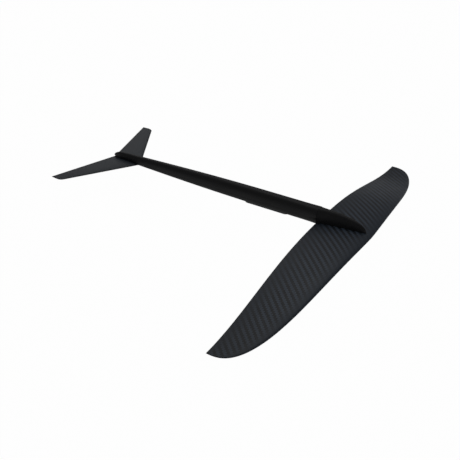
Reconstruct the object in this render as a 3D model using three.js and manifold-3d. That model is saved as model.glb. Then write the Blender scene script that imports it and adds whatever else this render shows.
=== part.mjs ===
// Hydrofoil set: a high aspect front wing, a fuselage and a stabiliser, bolted together.
// It lies as it is laid down with its mast taken off: the smooth side faces +Z and the mast side faces -Z.
// +X runs forward along the fuselage, Y along the span, and the origin is the middle of the mast seat.
// All sizes are in millimetres.

import * as THREE from 'three';
import { mergeVertices } from 'three/addons/utils/BufferGeometryUtils.js';
import Module from 'manifold-3d';

const wasm = await Module();
wasm.setup();

// ---------------------------------------------------------------- driving dimensions
const GAP = 0.3; // bond line or fitting clearance between neighbouring pieces
const PASTE = 0.55; // thicker bond line between a foil skin and what fills it

const WING_SPAN = 899;
const WING_ROOT_CHORD = 127;
const WING_TRAILING_X = 134; // the straight trailing edge
const WING_TRAILING_Z = -8.6; // its height at the root
const WING_ROOT_THICKNESS = 0.13; // share of the chord
const WING_TIP_THICKNESS = 0.1;
const WING_CAMBER = 0.01;
const WING_NOSE_DOWN = 4; // leading edge below trailing edge at the root
const WING_TIP_DROP = 56;
const WING_TAPER_POWER = 1.4;
const WING_TIP_POWER = 0.34;
const WING_ARCH_POWER = 1.25;
const WING_SKIN = 1.2;
const WING_EDGE = 0.55; // half of the trailing edge's thickness

const SPAR_FRONT = 0.27; // shares of the chord, from the leading edge
const SPAR_REAR = 0.42;
const SPAR_BOND = 0.006; // share of the chord between the spar and the cores
const CORE_FRONT = 0.06;
const CORE_REAR = 0.76;
const ROOT_BLOCK_HALF = 20;
const FILL_REACH = 0.872 * (WING_SPAN / 2); // where the spars and cores end, from the middle

const STAB_SPAN = 361;
const STAB_ROOT_CHORD = 85.5;
const STAB_TIP_CHORD = 31;
const STAB_TRAILING_X = -467; // its trailing edge at the root
const STAB_TRAILING_SWEEP = 50.5; // how far the tip's trailing edge lies behind the root's
const STAB_TIP_RISE = 4;
const STAB_NOSE_DOWN = 2.4;
const STAB_THICKNESS = 0.09;
const STAB_SKIN = 1;
const STAB_TIP_ROUND = 7;
const STAB_BLOCK_HALF = 9;
const STAB_CORE_REACH = 0.61 * (STAB_SPAN / 2);
const STAB_CORE_FRONT = 0.1;
const STAB_CORE_REAR = 0.62;

const HULL_HALF_WIDTH = 16;
const HULL_HALF_HEIGHT = 19.5;
const HULL_AXIS_Z = 5;
const HULL_WALL = 2.5;
const HULL_END_WALL = 3;
const HULL_TAIL_X = STAB_TRAILING_X - 1;
const HULL_TAPER_LENGTH = 475;
const HULL_TAIL_RATIO = 0.44; // size of the tail end against the full section
const HULL_TAIL_ROUND = 34; // the tail's end closes over this length
const HULL_TAIL_END = 0.02; // to this share of its size
// The stabiliser's trailing edge is level with the underside of the tail.
const STAB_Z = HULL_AXIS_Z - HULL_TAIL_RATIO * HULL_HALF_HEIGHT;
const HULL_SPLIT_Z = STAB_Z + 4; // the smooth side shell starts here, and the mast side shell one gap lower
const HULL_SMOOTH_POWER = 2.3; // 2 is an ellipse, and more is squarer
const HULL_MAST_POWER = 2.6;

const NOSE_START_X = WING_TRAILING_X + 21; // where the nose fairing starts to close
const NOSE_TIP_X = WING_TRAILING_X + WING_ROOT_CHORD - 13.5; // just behind the leading edge
const NOSE_END_GAP = 0.4; // the fairing's mesh ends this much short of its tip
const NOSE_END_WALL = 9;
const NOSE_HALF_WIDTH = 11.5;
const ROOT_FLARE = 6.5; // extra half width where the fuselage meets the wing
const ROOT_FLARE_AFT = 16;
const ROOT_FLARE_FORE = 15;
const TONGUE_LENGTH = 18; // how far the mast side shell reaches under the wing's trailing edge

const MAST_POCKET_LENGTH = 112;
const MAST_POCKET_WIDTH = 15;
const MAST_COLLAR_WALL = 4;
const MAST_COLLAR_WIDTH = MAST_POCKET_WIDTH + 2 * MAST_COLLAR_WALL;
const MAST_COLLAR_LENGTH = MAST_POCKET_LENGTH + 2 * MAST_COLLAR_WALL;
const MAST_COLLAR_BEVEL = 1;
const MAST_BLOCK_LENGTH = MAST_COLLAR_LENGTH + 26;
const MAST_SCREW_X = 34; // each side of the middle
const MAST_INSERT_LENGTH = HULL_AXIS_Z + HULL_HALF_HEIGHT - HULL_WALL - 4; // 4 short of the shell above it
const MAST_INSERT = { radius: 6, bore: 3.4, length: MAST_INSERT_LENGTH };

const WING_SCREW_X = [0.22, 0.4, 0.58].map((share) => WING_TRAILING_X + share * WING_ROOT_CHORD);
const WING_SCREW_LENGTH = WING_ROOT_CHORD * WING_ROOT_THICKNESS + 13.5; // through the wing and its insert
const WING_SCREW = { radius: 3, head: 6, cone: 3.2, length: WING_SCREW_LENGTH, hex: 4, hexDepth: 2.4 };
const WING_INSERT = { radius: 4.5, bore: WING_SCREW.radius + GAP, length: 12 };
const STAB_SCREW_X = [0.78, 0.46].map((share) => STAB_TRAILING_X + share * STAB_ROOT_CHORD);
const STAB_INSERT_LENGTH = 0.76 * HULL_TAIL_RATIO * HULL_HALF_HEIGHT;
const STAB_SCREW_LENGTH = STAB_INSERT_LENGTH + STAB_ROOT_CHORD * STAB_THICKNESS + 2.8;
const STAB_SCREW = { radius: 2.5, head: 5, cone: 2.7, length: STAB_SCREW_LENGTH, hex: 3, hexDepth: 2 };
const STAB_INSERT = { radius: 3.6, bore: STAB_SCREW.radius + GAP, length: STAB_INSERT_LENGTH };
const SCREW_SINK = 0.6; // a screw's face below the skin on its axis
const SCREW_ROOM = 4; // how far the room for a screw or an insert opens outwards
const SCREW_RIM = 0.3; // height of the upright edge of a countersunk head
const INSERT_GROOVE = 0.4;
const SADDLE_HALF_WIDTH = 6;
const SADDLE_MARGIN = 6.5; // from the stabiliser's edges to the ends of its saddle

const CLEAR = 40; // reach of a cutting tool past the pieces that it cuts

// ---------------------------------------------------------------- materials
const material = (color, roughness, metalness) =>
  new THREE.MeshStandardMaterial({ color, roughness, metalness });
const twill = material(0x2b333a, 0.45, 0.1);
const paintedCarbon = material(0x1a1b1e, 0.55, 0.05);
const slateCarbon = material(0x30353b, 0.5, 0.1);
const foam = material(0xd9c9a3, 0.95, 0);
const laminate = material(0x26282a, 0.7, 0);
const sparCarbon = material(0x151618, 0.5, 0.1);
const aluminium = material(0x3a3d40, 0.4, 0.9);
const stainless = material(0xb8bcc0, 0.3, 1);
const brass = material(0xb58f4a, 0.35, 1);
const nylon = material(0x202224, 0.6, 0);

const foil = new THREE.Group();

// Each piece has a material of its own.
function add(name, geometry, look) {
  const mesh = new THREE.Mesh(geometry, look.clone());
  mesh.name = name;
  foil.add(mesh);
  return mesh;
}

// ---------------------------------------------------------------- solids
// A closed solid between two grids of points with the same rows and columns.
function slab(upper, lower) {
  const rows = upper.length;
  const columns = upper[0].length;
  const points = [upper, lower].flat(2);
  const at = (layer, row, column) => (layer * rows + row) * columns + column;
  const index = [];
  const quad = (a, b, c, d) => index.push(a, b, c, a, c, d);
  for (let row = 0; row + 1 < rows; row += 1) {
    for (let column = 0; column + 1 < columns; column += 1) {
      const corners = [[row, column], [row + 1, column], [row + 1, column + 1], [row, column + 1]];
      quad(...corners.map(([r, c]) => at(0, r, c)));
      quad(...corners.map(([r, c]) => at(1, r, c)).reverse());
    }
    quad(at(0, row, 0), at(1, row, 0), at(1, row + 1, 0), at(0, row + 1, 0));
    const last = columns - 1;
    quad(at(0, row + 1, last), at(1, row + 1, last), at(1, row, last), at(0, row, last));
  }
  for (let column = 0; column + 1 < columns; column += 1) {
    const last = rows - 1;
    quad(at(0, 0, column + 1), at(1, 0, column + 1), at(1, 0, column), at(0, 0, column));
    quad(at(0, last, column), at(1, last, column), at(1, last, column + 1), at(0, last, column + 1));
  }
  const geometry = new THREE.BufferGeometry().setFromPoints(points);
  geometry.setIndex(index);
  return geometry;
}

// A grid of points from two lists of stations.
const grid = (rows, columns, point) => rows.map((row) => columns.map((column) => point(row, column)));

// Evenly spaced numbers.
const even = (from, to, steps) =>
  Array.from({ length: steps + 1 }, (_, i) => THREE.MathUtils.lerp(from, to, i / steps));

function toManifold(geometry) {
  const bare = geometry.clone();
  bare.deleteAttribute('normal');
  bare.deleteAttribute('uv');
  const merged = mergeVertices(bare, 1e-5);
  const vertProperties = new Float32Array(merged.attributes.position.array);
  const triVerts = new Uint32Array(merged.index.array);
  return new wasm.Manifold(new wasm.Mesh({ numProp: 3, vertProperties, triVerts }));
}

function toGeometry(solid) {
  const { vertProperties, triVerts, numProp } = solid.getMesh();
  const geometry = new THREE.BufferGeometry();
  const points = [];
  for (let i = 0; i < vertProperties.length; i += numProp) {
    points.push(new THREE.Vector3(...vertProperties.slice(i, i + 3)));
  }
  geometry.setFromPoints(points);
  geometry.setIndex([...triVerts]);
  return geometry;
}

const cut = (geometry, ...tools) =>
  toGeometry(tools.reduce((solid, tool) => solid.subtract(toManifold(tool)), toManifold(geometry)));
const join = (first, second) => toGeometry(toManifold(first).add(toManifold(second)));

function box(from, to) {
  const size = to.clone().sub(from);
  const middle = from.clone().add(to).multiplyScalar(0.5);
  return new THREE.BoxGeometry(size.x, size.y, size.z).translate(middle.x, middle.y, middle.z);
}

const vector = (x, y, z) => new THREE.Vector3(x, y, z);

// A turned piece: radius and height pairs, with its axis upright at x.
function turned(profile, x, z, segments = 16) {
  const points = profile.map(([radius, height]) => new THREE.Vector2(radius, height));
  return new THREE.LatheGeometry(points, segments).rotateX(Math.PI / 2).translate(x, 0, z);
}

// An upright bar with round ends, lengthways along the fuselage.
function stadium(length, width, fromZ, toZ, bevel = 0) {
  const radius = width / 2 - bevel;
  const half = length / 2 - width / 2;
  const shape = new THREE.Shape();
  shape.absarc(half, 0, radius, -Math.PI / 2, Math.PI / 2);
  shape.absarc(-half, 0, radius, Math.PI / 2, (3 * Math.PI) / 2);
  const options = {
    depth: toZ - fromZ - 2 * bevel,
    curveSegments: 8,
    bevelEnabled: bevel > 0,
    bevelThickness: bevel,
    bevelSize: bevel,
    bevelSegments: 1,
  };
  return new THREE.ExtrudeGeometry(shape, options).translate(0, 0, fromZ + bevel);
}

// ---------------------------------------------------------------- foil sections
// Half thickness of a four digit section at a share of the chord from the leading edge.
const halfThickness = (share, ratio) =>
  5 * ratio * (0.2969 * Math.sqrt(share) - 0.126 * share - 0.3516 * share ** 2
    + 0.2843 * share ** 3 - 0.1036 * share ** 4);

const wing = {
  halfSpan: WING_SPAN / 2,
  tipShare: 0.9985,
  skin: WING_SKIN,
  chord(y) {
    const share = Math.abs(y) / this.halfSpan;
    return WING_ROOT_CHORD * (1 - share ** WING_TAPER_POWER) ** WING_TIP_POWER;
  },
  thickness(y) {
    const share = Math.abs(y) / this.halfSpan;
    return THREE.MathUtils.lerp(WING_ROOT_THICKNESS, WING_TIP_THICKNESS, share);
  },
  trailingX: () => WING_TRAILING_X,
  middle(y, share) {
    const reach = (Math.abs(y) / this.halfSpan) ** WING_ARCH_POWER;
    const drop = WING_TIP_DROP * (1 - Math.cos(Math.PI * reach)) / 2;
    const scale = this.chord(y) / WING_ROOT_CHORD;
    const incidence = WING_NOSE_DOWN * scale * (1 - share);
    const camber = 4 * WING_CAMBER * share * (1 - share) * this.chord(y);
    return WING_TRAILING_Z - drop - incidence - camber;
  },
};

const stab = {
  halfSpan: STAB_SPAN / 2,
  tipShare: 0.9985,
  skin: STAB_SKIN,
  chord(y) {
    const share = Math.abs(y) / this.halfSpan;
    const past = Math.max(0, Math.abs(y) - this.halfSpan + STAB_TIP_ROUND) / STAB_TIP_ROUND;
    const rounding = STAB_TIP_ROUND * (1 - Math.sqrt(1 - past ** 2));
    return THREE.MathUtils.lerp(STAB_ROOT_CHORD, STAB_TIP_CHORD, share) - rounding;
  },
  thickness: () => STAB_THICKNESS,
  trailingX(y) {
    return STAB_TRAILING_X - STAB_TRAILING_SWEEP * Math.abs(y) / this.halfSpan;
  },
  middle(y, share) {
    const rise = STAB_TIP_RISE * Math.abs(y) / this.halfSpan;
    const scale = this.chord(y) / STAB_ROOT_CHORD;
    return STAB_Z + rise - STAB_NOSE_DOWN * scale * (1 - share);
  },
};

// Half of a foil's depth, never thinner than its trailing edge.
function halfDepth(surface, y, share) {
  const section = surface.chord(y) * halfThickness(share, surface.thickness(y));
  return section + WING_EDGE * share;
}

// A point of a foil: side is 1 on the smooth side and -1 on the mast side, inset is a depth below that skin.
function foilPoint(surface, y, share, side, inset = 0) {
  const depth = Math.max(halfDepth(surface, y, share) - inset, GAP / 2);
  const x = surface.trailingX(y) + surface.chord(y) * (1 - share);
  return vector(x, y, surface.middle(y, share) + side * depth);
}

// Height of a foil's surface above or below a point.
function surfaceZ(surface, x, y, side, inset = 0) {
  const share = THREE.MathUtils.clamp(1 - (x - surface.trailingX(y)) / surface.chord(y), 0, 1);
  return foilPoint(surface, y, share, side, inset).z;
}

// Stations along a whole span, closer together at the tips.
function spanStations(surface, steps) {
  const reach = surface.halfSpan * surface.tipShare;
  return even(-1, 1, 2 * steps).map((u) => reach * Math.sin((u * Math.PI) / 2));
}

// Shares of the chord, closer together at the leading edge, from where the section is an edge thick.
const chordShares = (steps) => even(0.03, 1, steps).map((u) => u ** 2);

function foilSkin(surface, side, spanSteps, chordSteps) {
  const stations = spanStations(surface, spanSteps);
  const outer = grid(stations, chordShares(chordSteps), (y, c) => foilPoint(surface, y, c, side));
  const inner = grid(stations, chordShares(chordSteps), (y, c) =>
    foilPoint(surface, y, c, side, Math.min(surface.skin, halfDepth(surface, y, c) - GAP / 2)));
  return side > 0 ? slab(outer, inner) : slab(inner, outer);
}

// What fills a foil between its skins, over a stretch of span and of chord.
function foilFiller(surface, fromY, toY, fromShare, toShare, spanSteps, chordSteps) {
  const stations = even(fromY, toY, spanSteps);
  const shares = even(fromShare, toShare, chordSteps);
  const inset = surface.skin + PASTE;
  return slab(
    grid(stations, shares, (y, c) => foilPoint(surface, y, c, 1, inset)),
    grid(stations, shares, (y, c) => foilPoint(surface, y, c, -1, inset)),
  );
}

// ---------------------------------------------------------------- fuselage sections
// Size of the section against the full one: it eases from the tail to full size.
function hullScale(x) {
  const share = THREE.MathUtils.clamp((x - HULL_TAIL_X) / HULL_TAPER_LENGTH, 0, 1);
  return HULL_TAIL_RATIO + (1 - HULL_TAIL_RATIO) * Math.sin((share * Math.PI) / 2);
}

// The nose closes as a quarter ellipse from where it starts to its tip.
function noseShare(x) {
  const along = Math.max(0, x - NOSE_START_X) / (NOSE_TIP_X - NOSE_START_X);
  return Math.sqrt(Math.max(0, 1 - along ** 2));
}

// The tail's end is rounded off as a quarter ellipse.
function tailShare(x) {
  const short = Math.max(0, 1 - (x - HULL_TAIL_X) / HULL_TAIL_ROUND);
  return HULL_TAIL_END + (1 - HULL_TAIL_END) * Math.sqrt(1 - short ** 2);
}

function hullHalfWidth(x) {
  if (x > WING_TRAILING_X) {
    const flare = ROOT_FLARE * Math.exp((WING_TRAILING_X - x) / ROOT_FLARE_FORE);
    return (NOSE_HALF_WIDTH + flare) * noseShare(x);
  }
  const step = NOSE_HALF_WIDTH + ROOT_FLARE - HULL_HALF_WIDTH;
  const flare = step * Math.exp((x - WING_TRAILING_X) / ROOT_FLARE_AFT);
  return HULL_HALF_WIDTH * hullScale(x) * tailShare(x) + flare;
}

const hullTopZ = (x) => HULL_AXIS_Z + HULL_HALF_HEIGHT * hullScale(x);
const hullBottomZ = (x) => HULL_AXIS_Z - HULL_HALF_HEIGHT * hullScale(x);

// A point of a half section that stands on a base line: turn runs from 0 at -Y to 1 at +Y.
function arcPoint(x, turn, halfWidth, height, baseZ, power) {
  const angle = Math.PI * (1 - turn);
  const round = (value) => Math.sign(value) * Math.abs(value) ** (2 / power);
  return vector(x, halfWidth * round(Math.cos(angle)), baseZ + height * round(Math.sin(angle)));
}

// Over the wing the smooth side shell stands on the wing, and elsewhere on the split plane.
const smoothBaseZ = (x, y) =>
  x > WING_TRAILING_X ? surfaceZ(wing, x, y, 1) + GAP : HULL_SPLIT_Z;

function smoothPoint(x, turn, inset = 0) {
  const halfWidth = hullHalfWidth(x) - inset;
  const y = arcPoint(x, turn, halfWidth, 1, 0, HULL_SMOOTH_POWER).y;
  const middleBase = smoothBaseZ(x, 0);
  const fullHeight = hullTopZ(x) - middleBase;
  const height = fullHeight * noseShare(x) * tailShare(x) - inset;
  return arcPoint(x, turn, halfWidth, height, smoothBaseZ(x, y), HULL_SMOOTH_POWER);
}

function mastPoint(x, turn, inset = 0) {
  const base = HULL_SPLIT_Z - GAP;
  const depth = base - hullBottomZ(x) - inset;
  return arcPoint(x, turn, hullHalfWidth(x) - inset, -depth, base, HULL_MAST_POWER);
}

const flattened = (point, z) => vector(point.x, point.y, z(point.x, point.y));
const HULL_TURNS = even(0.004, 0.996, 12); // a hair of upright side at each edge

// ---------------------------------------------------------------- fasteners
const headZ = (surface, x) => surfaceZ(surface, x, 0, -1) + SCREW_SINK;

// A countersunk screw pointing up, or the room that it needs when grown by a clearance.
function screwBody(size, x, z, grow = 0) {
  const outside = grow > 0 ? -SCREW_ROOM : 0;
  return turned([
    [0, outside],
    [size.head + grow, outside],
    [size.head + grow, SCREW_RIM],
    [size.radius + grow, size.cone + grow],
    [size.radius + grow, size.length + grow],
    [0, size.length + grow],
  ], x, z);
}

function addScrew(name, surface, size, x) {
  const z = headZ(surface, x);
  const corner = size.hex / Math.sqrt(3);
  const hexagon = new THREE.CylinderGeometry(corner, corner, size.hexDepth * 2, 6);
  const socket = hexagon.rotateX(Math.PI / 2).translate(x, 0, z);
  add(name, cut(screwBody(size, x, z), socket), stainless);
}

// A threaded insert: a bush with a grip groove round its middle, its lower face at z.
function insertBush(size, x, z) {
  const third = size.length / 3;
  const waist = size.radius - INSERT_GROOVE;
  const ring = [
    [size.bore, 0],
    [size.radius, 0],
    [size.radius, third],
    [waist, third + INSERT_GROOVE],
    [waist, 2 * third - INSERT_GROOVE],
    [size.radius, 2 * third],
    [size.radius, size.length],
    [size.bore, size.length],
    [size.bore, 0],
  ];
  return turned(ring, x, z);
}

// The bore that holds an insert, open below.
function insertRoom(size, x, z) {
  const radius = size.radius + GAP;
  const top = size.length + GAP;
  return turned([[0, -SCREW_ROOM], [radius, -SCREW_ROOM], [radius, top], [0, top]], x, z);
}

// ---------------------------------------------------------------- front wing
const wingScrewRooms = WING_SCREW_X.map((x) => screwBody(WING_SCREW, x, headZ(wing, x), GAP));
const stabScrewRooms = STAB_SCREW_X.map((x) => screwBody(STAB_SCREW, x, headZ(stab, x), GAP));

add('wing_smooth_skin', cut(foilSkin(wing, 1, 12, 10), ...wingScrewRooms), twill);
add('wing_mast_skin', cut(foilSkin(wing, -1, 12, 10), ...wingScrewRooms), twill);

const rootBlock = foilFiller(wing, -ROOT_BLOCK_HALF, ROOT_BLOCK_HALF, CORE_FRONT, CORE_REAR, 2, 7);
add('wing_root_block', cut(rootBlock, ...wingScrewRooms), laminate);

for (const [label, side] of [['left', 1], ['right', -1]]) {
  const ends = [side * (ROOT_BLOCK_HALF + GAP), side * FILL_REACH].sort((a, b) => a - b);
  const fill = (fromShare, toShare, steps) => foilFiller(wing, ...ends, fromShare, toShare, 9, steps);
  add(`wing_spar_${label}`, fill(SPAR_FRONT, SPAR_REAR, 2), sparCarbon);
  add(`wing_front_core_${label}`, fill(CORE_FRONT, SPAR_FRONT - SPAR_BOND, 3), foam);
  add(`wing_rear_core_${label}`, fill(SPAR_REAR + SPAR_BOND, CORE_REAR, 3), foam);
}

WING_SCREW_X.forEach((x, i) => addScrew(`wing_screw_${i + 1}`, wing, WING_SCREW, x));

// ---------------------------------------------------------------- fuselage shells
const noseEndX = NOSE_TIP_X - NOSE_END_GAP;
const innerNoseX = NOSE_TIP_X - NOSE_END_WALL;
const innerTailX = HULL_TAIL_X + 2 * HULL_END_WALL;
const tailRoundX = HULL_TAIL_X + HULL_TAIL_ROUND;
const shellRearX = STAB_TRAILING_X + STAB_ROOT_CHORD + GAP; // the mast side shell starts at the stabiliser
const bulkheadX = WING_TRAILING_X - GAP; // and its body ends at the wing's trailing edge

// Stations of the nose and of the tail's end, closer together where they close.
const quarter = (u) => Math.sin((u * Math.PI) / 2);
const noseStations = (toX, steps) =>
  even(0, 1, steps).map((u) => THREE.MathUtils.lerp(NOSE_START_X, toX, quarter(u)));
const tailStations = (fromX, steps) =>
  even(1, 0, steps).map((u) => THREE.MathUtils.lerp(tailRoundX, fromX, quarter(u)));
const smoothStations = (fromX, toX) => [
  ...tailStations(fromX, 4),
  ...even(tailRoundX, bulkheadX, 14).slice(1),
  ...even(WING_TRAILING_X + GAP / 4, NOSE_START_X, 3).slice(0, -1),
  ...noseStations(toX, 8),
];

// The smooth side of the fuselage as a full solid, or the room inside it when it reaches on below its base.
const smoothSolid = (stations, inset, below) => slab(
  grid(stations, HULL_TURNS, (x, turn) => smoothPoint(x, turn, inset)),
  grid(stations, HULL_TURNS, (x, turn) =>
    flattened(smoothPoint(x, turn, inset), (px, py) => smoothBaseZ(px, py) - below)),
);
const smoothOuter = smoothSolid(smoothStations(HULL_TAIL_X, noseEndX), 0, 0);
const smoothInner = smoothSolid(smoothStations(innerTailX, innerNoseX), HULL_WALL, 1);
add('fuselage_smooth_shell', cut(smoothOuter, smoothInner), paintedCarbon);

const mastSolid = (stations, inset, above) => slab(
  grid(stations, HULL_TURNS, (x, turn) =>
    flattened(mastPoint(x, turn, inset), () => HULL_SPLIT_Z - GAP + above)),
  grid(stations, HULL_TURNS, (x, turn) => mastPoint(x, turn, inset)),
);
const tongueEndX = WING_TRAILING_X + TONGUE_LENGTH;
const mastStations = [
  ...even(shellRearX, bulkheadX, 13),
  ...even(bulkheadX, tongueEndX, 4).slice(1),
];
const innerRearX = shellRearX + HULL_END_WALL;
const innerFrontX = bulkheadX - HULL_END_WALL;
const mastOuter = mastSolid(mastStations, 0, 0);
const mastInner = mastSolid(even(innerRearX, innerFrontX, 12), HULL_WALL, 1);
const edgeUnderside = WING_TRAILING_Z - WING_EDGE - GAP;
const overTongue = box(vector(bulkheadX, -CLEAR, edgeUnderside), vector(tongueEndX + CLEAR, CLEAR, CLEAR));
const roomStations = [even(-CLEAR, CLEAR, 4), even(0.6, 1, 6)];
const wingRoom = slab(
  grid(...roomStations, (y, c) => foilPoint(wing, y, c, 1, -GAP)),
  grid(...roomStations, (y, c) => foilPoint(wing, y, c, -1, -GAP)),
);
const collarRoom = stadium(MAST_COLLAR_LENGTH + 2 * GAP, MAST_COLLAR_WIDTH + 2 * GAP, -CLEAR, 0);
add('fuselage_mast_shell', cut(mastOuter, mastInner, overTongue, wingRoom, collarRoom), paintedCarbon);

// ---------------------------------------------------------------- inside the fuselage
const fillInset = HULL_WALL + GAP;
const mastBlockHalf = MAST_BLOCK_LENGTH / 2;

// A full section filler between two places along the fuselage.
const hullFiller = (fromX, toX, steps) => slab(
  grid(even(fromX, toX, steps), HULL_TURNS, (x, turn) => smoothPoint(x, turn, fillInset)),
  grid(even(fromX, toX, steps), HULL_TURNS, (x, turn) => mastPoint(x, turn, fillInset)),
);
add('fuselage_rear_core', hullFiller(innerRearX + GAP, -mastBlockHalf - GAP, 8), foam);
add('fuselage_front_core', hullFiller(mastBlockHalf + GAP, innerFrontX - GAP, 4), foam);

const collarLandZ = hullBottomZ(mastBlockHalf);
const collarRootZ = collarLandZ / 2; // well inside the block
const collar = stadium(MAST_COLLAR_LENGTH, MAST_COLLAR_WIDTH, collarLandZ, collarRootZ, MAST_COLLAR_BEVEL);
const pocket = stadium(MAST_POCKET_LENGTH, MAST_POCKET_WIDTH, -CLEAR, 0);
const mastInsertX = [MAST_SCREW_X, -MAST_SCREW_X];
const mastRooms = mastInsertX.map((x) => insertRoom(MAST_INSERT, x, GAP));
const mastBlock = join(hullFiller(-mastBlockHalf, mastBlockHalf, 6), collar);
add('mast_socket_block', cut(mastBlock, pocket, ...mastRooms), aluminium);
mastInsertX.forEach((x, i) => add(`mast_insert_${i + 1}`, insertBush(MAST_INSERT, x, GAP), stainless));

const noseBlockStations = [
  ...even(WING_TRAILING_X + HULL_WALL, NOSE_START_X, 2).slice(0, -1),
  ...noseStations(innerNoseX - HULL_END_WALL, 6),
];
const noseBlock = smoothSolid(noseBlockStations, fillInset, 0);
const wingInsertZ = (x) => smoothBaseZ(x, 0) + GAP;
const wingInsertRooms = WING_SCREW_X.map((x) => insertRoom(WING_INSERT, x, wingInsertZ(x)));
add('wing_mount_block', cut(noseBlock, ...wingInsertRooms, ...wingScrewRooms), laminate);
WING_SCREW_X.forEach((x, i) => {
  add(`wing_insert_${i + 1}`, insertBush(WING_INSERT, x, wingInsertZ(x)), brass);
});

const tailBlockStations = [
  ...tailStations(innerTailX + GAP, 3),
  ...even(tailRoundX, innerRearX, 4).slice(1),
];
const tailBlock = smoothSolid(tailBlockStations, fillInset, 0);
const stabInsertZ = HULL_SPLIT_Z + GAP;
const stabInsertRooms = STAB_SCREW_X.map((x) => insertRoom(STAB_INSERT, x, stabInsertZ));
add('tail_block', cut(tailBlock, ...stabInsertRooms, ...stabScrewRooms), laminate);
STAB_SCREW_X.forEach((x, i) => add(`tail_insert_${i + 1}`, insertBush(STAB_INSERT, x, stabInsertZ), brass));

// ---------------------------------------------------------------- stabiliser
add('stab_smooth_skin', cut(foilSkin(stab, 1, 7, 8), ...stabScrewRooms), slateCarbon);
add('stab_mast_skin', cut(foilSkin(stab, -1, 7, 8), ...stabScrewRooms), slateCarbon);
const stabCoreShares = [STAB_CORE_FRONT, STAB_CORE_REAR];
const stabBlock = foilFiller(stab, -STAB_BLOCK_HALF, STAB_BLOCK_HALF, ...stabCoreShares, 2, 5);
add('stab_root_block', cut(stabBlock, ...stabScrewRooms), laminate);
for (const [label, side] of [['left', 1], ['right', -1]]) {
  const ends = [side * (STAB_BLOCK_HALF + GAP), side * STAB_CORE_REACH].sort((a, b) => a - b);
  add(`stab_core_${label}`, foilFiller(stab, ...ends, ...stabCoreShares, 3, 4), foam);
}

// The saddle is flat where the fuselage sits on it, and follows the stabiliser below.
const saddleRearX = STAB_TRAILING_X + SADDLE_MARGIN;
const saddleFrontX = STAB_TRAILING_X + STAB_ROOT_CHORD - SADDLE_MARGIN;
const saddleRows = even(saddleRearX, saddleFrontX, 6);
const saddleColumns = even(-SADDLE_HALF_WIDTH, SADDLE_HALF_WIDTH, 2);
const saddle = slab(
  grid(saddleRows, saddleColumns, (x, y) => vector(x, y, HULL_SPLIT_Z - GAP)),
  grid(saddleRows, saddleColumns, (x, y) => vector(x, y, surfaceZ(stab, x, y, 1) + PASTE)),
);
add('stab_saddle', cut(saddle, ...stabScrewRooms), nylon);
STAB_SCREW_X.forEach((x, i) => addScrew(`stab_screw_${i + 1}`, stab, STAB_SCREW, x));

export default foil;
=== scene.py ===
# %% [markdown]
# # A hydrofoil set: front wing, fuselage and stabiliser
#
# The set lies upside down, as it is laid on the ground with its mast taken off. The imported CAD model
# is the frame: it says where every piece goes. This lesson builds the surfaces that the eye sees on top
# of that frame: two thin carbon skins for each foil, two shells for the fuselage, the socket that takes
# the mast, and the screws. +X runs forward, Y along the span, and +Z out of the smooth side.

# %% Load the frame
import math

import bmesh
import bpy
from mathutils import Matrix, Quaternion, Vector


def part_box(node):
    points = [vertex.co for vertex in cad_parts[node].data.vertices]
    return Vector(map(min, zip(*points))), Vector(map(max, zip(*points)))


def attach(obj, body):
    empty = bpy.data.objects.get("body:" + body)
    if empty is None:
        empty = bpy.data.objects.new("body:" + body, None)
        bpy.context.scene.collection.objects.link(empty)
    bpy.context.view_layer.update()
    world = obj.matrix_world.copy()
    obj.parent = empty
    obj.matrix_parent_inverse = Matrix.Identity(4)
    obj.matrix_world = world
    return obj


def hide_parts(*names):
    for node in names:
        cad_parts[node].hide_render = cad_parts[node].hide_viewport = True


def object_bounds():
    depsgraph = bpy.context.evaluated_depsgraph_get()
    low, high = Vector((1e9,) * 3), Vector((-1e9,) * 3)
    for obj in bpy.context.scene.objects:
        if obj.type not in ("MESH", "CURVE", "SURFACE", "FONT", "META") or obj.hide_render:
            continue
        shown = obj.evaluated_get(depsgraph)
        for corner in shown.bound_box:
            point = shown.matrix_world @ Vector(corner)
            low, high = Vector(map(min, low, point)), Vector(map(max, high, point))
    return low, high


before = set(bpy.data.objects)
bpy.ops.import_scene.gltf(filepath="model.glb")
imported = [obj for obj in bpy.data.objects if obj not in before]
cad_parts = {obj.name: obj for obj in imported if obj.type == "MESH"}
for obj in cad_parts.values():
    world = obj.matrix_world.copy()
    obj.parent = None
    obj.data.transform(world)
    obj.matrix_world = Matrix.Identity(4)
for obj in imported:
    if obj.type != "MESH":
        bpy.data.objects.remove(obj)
cad_box = [list(corner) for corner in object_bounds()]
MM = 0.001
print("CAD nodes:", len(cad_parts))
print("size in mm:", [round((high - low) / MM) for low, high in zip(*cad_box)])

# %% [markdown]
# ## The sizes that the pieces share
#
# A foil is described by its plan, its section and how it bends. These are the sizes that the CAD model
# was made from, in millimetres. Where a place can be read from a CAD node, it is.

# %% Sizes
GAP = 0.3
WING_HALF_SPAN = 449.5
WING_CHORD = 127
WING_TRAILING = Vector((134, 0, -8.6))
WING_THICKNESS = 0.13
WING_TIP_THICKNESS = 0.10
WING_NOSE_DOWN = 4
WING_CAMBER = 0.01
WING_TIP_DROP = 56
WING_TAPER_POWER = 1.4
WING_TIP_POWER = 0.34
WING_ARCH_POWER = 1.25
EDGE = 0.55

HULL_AXIS = 5
HULL_HALF_HEIGHT = 19.5
HULL_HALF_WIDTH = 16
HULL_TAIL_X = -468
HULL_TAPER = 475
HULL_TAIL_RATIO = 0.44
HULL_TAIL_ROUND = 34
HULL_TAIL_END = 0.02
SMOOTH_POWER = 2.3
MAST_POWER = 2.6
HULL_WALL = 2.5

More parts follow.
